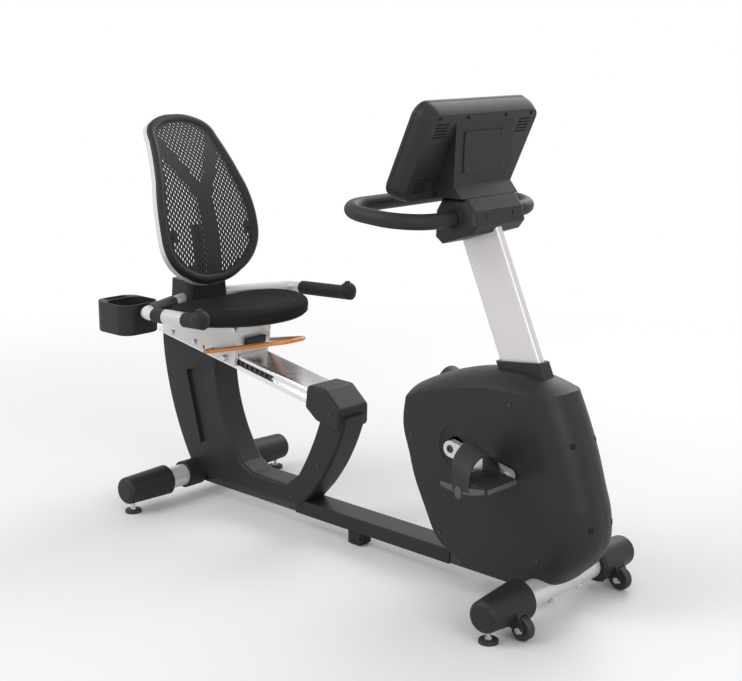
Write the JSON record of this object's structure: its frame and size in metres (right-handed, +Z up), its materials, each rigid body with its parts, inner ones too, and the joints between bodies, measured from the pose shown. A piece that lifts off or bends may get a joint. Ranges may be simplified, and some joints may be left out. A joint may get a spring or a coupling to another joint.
{
  "type": "recumbent exercise bike",
  "caption": "Recumbent exercise bike: cushioned seat with net back rest sliding on a sloping rail, side grips, enclosed belt drive, strapped pedals, leaning mast, handlebar loop and console.",
  "frame": {"origin": "on the floor under the middle of the whole bike", "axes": "+X along the bike from the seat towards the pedals, +Y to the rider's left, +Z up"},
  "size_m": [1.5374, 0.61, 1.1857],
  "materials": {
    "silver_paint": "satin",
    "silver_moulding": "satin silver",
    "black_moulding": "satin",
    "black_paint": "satin",
    "foot_rubber": "matte",
    "wheel_plastic": "satin",
    "rail_metal": "polished",
    "steel": "satin",
    "iron": "machined",
    "belt_rubber": "matte",
    "crank_metal": "silver",
    "pedal_plastic": "matte",
    "strap_rubber": "matte",
    "orange_paint": "gloss",
    "seat_cover": "grained",
    "grip_foam": "matte",
    "bar_foam": "matte",
    "button_plastic": "satin",
    "net_plastic": "satin",
    "screen": "gloss"
  },
  "bodies": {
    "frame": {"cross_tubes": "silver_paint", "rear_caps": "black_moulding", "front_caps": "black_moulding", "base_frame": "black_paint", "base_cover": "black_moulding", "middle_foot": "foot_rubber", "seat_rail": "rail_metal", "rail_rack": "black_paint", "rear_cover_right": "black_moulding", "rear_cover_left": "black_moulding", "drive_cover_right": "black_moulding", "drive_cover_left": "black_moulding", "top_cover": "black_moulding", "mast_collar": "black_moulding", "mast": "silver_paint", "drive_frame": "black_paint", "crank_bearings": "steel", "flywheel_axle": "steel", "drive_belt": "belt_rubber", "brake_coil": "steel", "clamp_housing": "black_moulding", "handlebar": "bar_foam", "console_front": "black_moulding", "console_back": "black_moulding", "console_screen": "screen", "access_panel": "black_moulding", "frame_bolts": "steel", "cover_screws": "black_paint"},
    "seat": {"carriage": "silver_paint", "latch_cover": "black_moulding", "seat_pan": "black_moulding", "seat_pad": "seat_cover", "side_handles": "silver_paint", "grip_right": "grip_foam", "grip_left": "grip_foam", "pulse_plates": "steel", "cup_holder": "black_moulding", "back_post": "black_moulding", "back_panel": "net_plastic", "back_shell": "silver_moulding", "carriage_bolts": "steel"},
    "release_lever": {"release_lever": "orange_paint"},
    "latch_pawl": {"latch_pawl": "steel"},
    "thumb_button_right": {"thumb_button_right": "button_plastic"},
    "thumb_button_left": {"thumb_button_left": "button_plastic"},
    "crank": {"crank_axle": "steel", "crank_arms": "crank_metal", "pedal_spindles": "steel", "drive_pulley": "black_moulding"},
    "flywheel": {"flywheel": "iron"},
    "pedal_right": {"pedal_right": "pedal_plastic", "strap_right": "strap_rubber"},
    "pedal_left": {"pedal_left": "pedal_plastic", "strap_left": "strap_rubber"},
    "transport_wheel_right": {"transport_wheel_right": "wheel_plastic"},
    "transport_wheel_left": {"transport_wheel_left": "wheel_plastic"},
    "leveller_front_right": {"leveller_front_right": "foot_rubber"},
    "leveller_front_left": {"leveller_front_left": "foot_rubber"},
    "leveller_rear_right": {"leveller_rear_right": "foot_rubber"},
    "leveller_rear_left": {"leveller_rear_left": "foot_rubber"}
  },
  "joints": [
    {"name": "seat_slide", "type": "slide", "parent": "frame", "child": "seat", "axis": [0.9859, 0, -0.1673], "range_m": [-0.02, 0.22]},
    {"name": "lever_pivot", "type": "hinge", "parent": "seat", "child": "release_lever", "pos_m": [-0.512, 0, 0.4555], "axis": [0, -1, 0], "range_deg": [0, 8], "stiffness_Nm_per_rad": 12, "springref_deg": -8.02},
    {"name": "pawl_slide", "type": "slide", "parent": "seat", "child": "latch_pawl", "axis": [0, -1, 0], "range_m": [0, 0.006]},
    {"name": "crank_spin", "type": "hinge", "parent": "frame", "child": "crank", "pos_m": [0.394, 0, 0.366], "axis": [0, 1, 0], "continuous": true},
    {"name": "flywheel_spin", "type": "hinge", "parent": "frame", "child": "flywheel", "pos_m": [0.624, 0, 0.225], "axis": [0, 1, 0], "continuous": true},
    {"name": "pedal_right_spin", "type": "hinge", "parent": "crank", "child": "pedal_right", "pos_m": [0.56115, 0, 0.33502], "axis": [0, 1, 0], "continuous": true},
    {"name": "pedal_left_spin", "type": "hinge", "parent": "crank", "child": "pedal_left", "pos_m": [0.22685, 0, 0.39698], "axis": [0, 1, 0], "continuous": true},
    {"name": "thumb_button_right_press", "type": "slide", "parent": "seat", "child": "thumb_button_right", "axis": [0.0443, 0, -0.999], "range_m": [0, 0.002], "stiffness_N_per_m": 600, "springref_m": -0.001},
    {"name": "thumb_button_left_press", "type": "slide", "parent": "seat", "child": "thumb_button_left", "axis": [0.0443, 0, -0.999], "range_m": [0, 0.002], "stiffness_N_per_m": 600, "springref_m": -0.001},
    {"name": "transport_wheel_right_spin", "type": "hinge", "parent": "frame", "child": "transport_wheel_right", "pos_m": [0.689, -0.197, 0.03], "axis": [0, 1, 0], "continuous": true},
    {"name": "transport_wheel_left_spin", "type": "hinge", "parent": "frame", "child": "transport_wheel_left", "pos_m": [0.689, 0.197, 0.03], "axis": [0, 1, 0], "continuous": true},
    {"name": "leveller_front_right_turn", "type": "hinge", "parent": "frame", "child": "leveller_front_right", "pos_m": [0.638, -0.256, 0], "axis": [0, 0, 1], "continuous": true},
    {"name": "leveller_front_left_turn", "type": "hinge", "parent": "frame", "child": "leveller_front_left", "pos_m": [0.638, 0.256, 0], "axis": [0, 0, 1], "continuous": true},
    {"name": "leveller_rear_right_turn", "type": "hinge", "parent": "frame", "child": "leveller_rear_right", "pos_m": [-0.628, -0.275, 0], "axis": [0, 0, 1], "continuous": true},
    {"name": "leveller_rear_left_turn", "type": "hinge", "parent": "frame", "child": "leveller_rear_left", "pos_m": [-0.628, 0.275, 0], "axis": [0, 0, 1], "continuous": true}
  ],
  "couplings": [
    {"joint": "pawl_slide", "follows": "lever_pivot", "m_per_rad": 0.042256},
    {"joint": "flywheel_spin", "follows": "crank_spin", "ratio": 4.5833}
  ]
}
